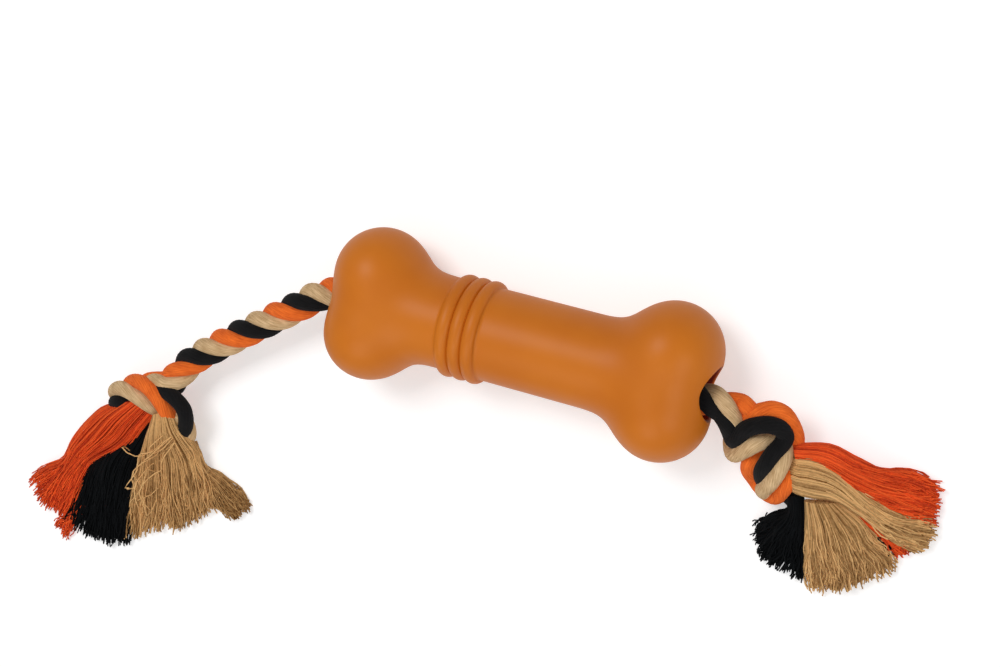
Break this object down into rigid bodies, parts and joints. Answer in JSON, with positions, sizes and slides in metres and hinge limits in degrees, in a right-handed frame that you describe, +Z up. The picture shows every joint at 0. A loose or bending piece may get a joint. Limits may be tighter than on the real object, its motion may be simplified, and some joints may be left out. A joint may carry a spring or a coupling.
{
  "type": "bone-shaped dog toy",
  "caption": "Rubber bone with a ribbed shaft, strung on a laid cotton rope that is knotted and frayed into tassels at both ends, for chewing and tugging.",
  "frame": {"origin": "on the floor under the middle of the bone", "axes": "+X along the bone to the end with the short rope, +Y across the bone away from the side the rope ends lie on, +Z up"},
  "size_m": [0.4269, 0.191, 0.0468],
  "materials": {
    "rubber": "satin moulded",
    "cotton_beige": "spun cotton",
    "cotton_black": "spun cotton",
    "cotton_orange": "spun cotton"
  },
  "bodies": {
    "bone": {"rubber_bone": "rubber"},
    "rope": {"bore_rope_left_beige": "cotton_beige", "bore_rope_left_black": "cotton_black", "bore_rope_left_orange": "cotton_orange"},
    "left_rope": {"left_rope_beige": "cotton_beige", "left_rope_black": "cotton_black", "left_rope_orange": "cotton_orange"},
    "left_knot": {"left_knot_beige": "cotton_beige", "left_knot_black": "cotton_black", "left_knot_orange": "cotton_orange"},
    "left_tassel": {"left_tassel_beige": "cotton_beige", "left_tassel_black": "cotton_black", "left_tassel_orange": "cotton_orange"},
    "right_rope": {"bore_rope_right_beige": "cotton_beige", "bore_rope_right_black": "cotton_black", "bore_rope_right_orange": "cotton_orange"},
    "right_knot": {"right_knot_beige": "cotton_beige", "right_knot_black": "cotton_black", "right_knot_orange": "cotton_orange"},
    "right_tassel": {"right_tassel_beige": "cotton_beige", "right_tassel_black": "cotton_black", "right_tassel_orange": "cotton_orange"}
  },
  "joints": [
    {"name": "rope_spin", "type": "hinge", "parent": "bone", "child": "rope", "pos_m": [0, -0.0014, 0.02132], "axis": [0.9997, -0.0243, 0], "continuous": true},
    {"name": "left_rope_swing", "type": "hinge", "parent": "rope", "child": "left_rope", "pos_m": [-0.0905, 0.0008, 0.02132], "axis": [0, 0, 1], "range_deg": [-90, 10]},
    {"name": "left_knot_slide", "type": "slide", "parent": "left_rope", "child": "left_knot", "axis": [0.7793, 0.6244, 0.0529], "range_m": [0, 0.072], "deforming": ["left_rope_beige", "left_rope_black", "left_rope_orange"]},
    {"name": "left_tassel_lift", "type": "hinge", "parent": "left_knot", "child": "left_tassel", "pos_m": [-0.172, -0.088, 0.0172], "axis": [-0.9613, 0.2756, 0], "range_deg": [0, 75]},
    {"name": "right_rope_slide", "type": "slide", "parent": "rope", "child": "right_rope", "axis": [0.9997, -0.0243, 0], "range_m": [0, 0.072]},
    {"name": "right_rope_swing", "type": "hinge", "parent": "right_rope", "child": "right_knot", "pos_m": [0.0905, -0.0036, 0.02132], "axis": [0, 0, 1], "range_deg": [-20, 68]},
    {"name": "right_tassel_lift", "type": "hinge", "parent": "right_knot", "child": "right_tassel", "pos_m": [0.1245, -0.0262, 0.0168], "axis": [-0.4695, -0.8829, 0], "range_deg": [0, 75]}
  ],
  "couplings": [
    {"joint": "left_knot_slide", "follows": "right_rope_slide", "ratio": 1}
  ]
}
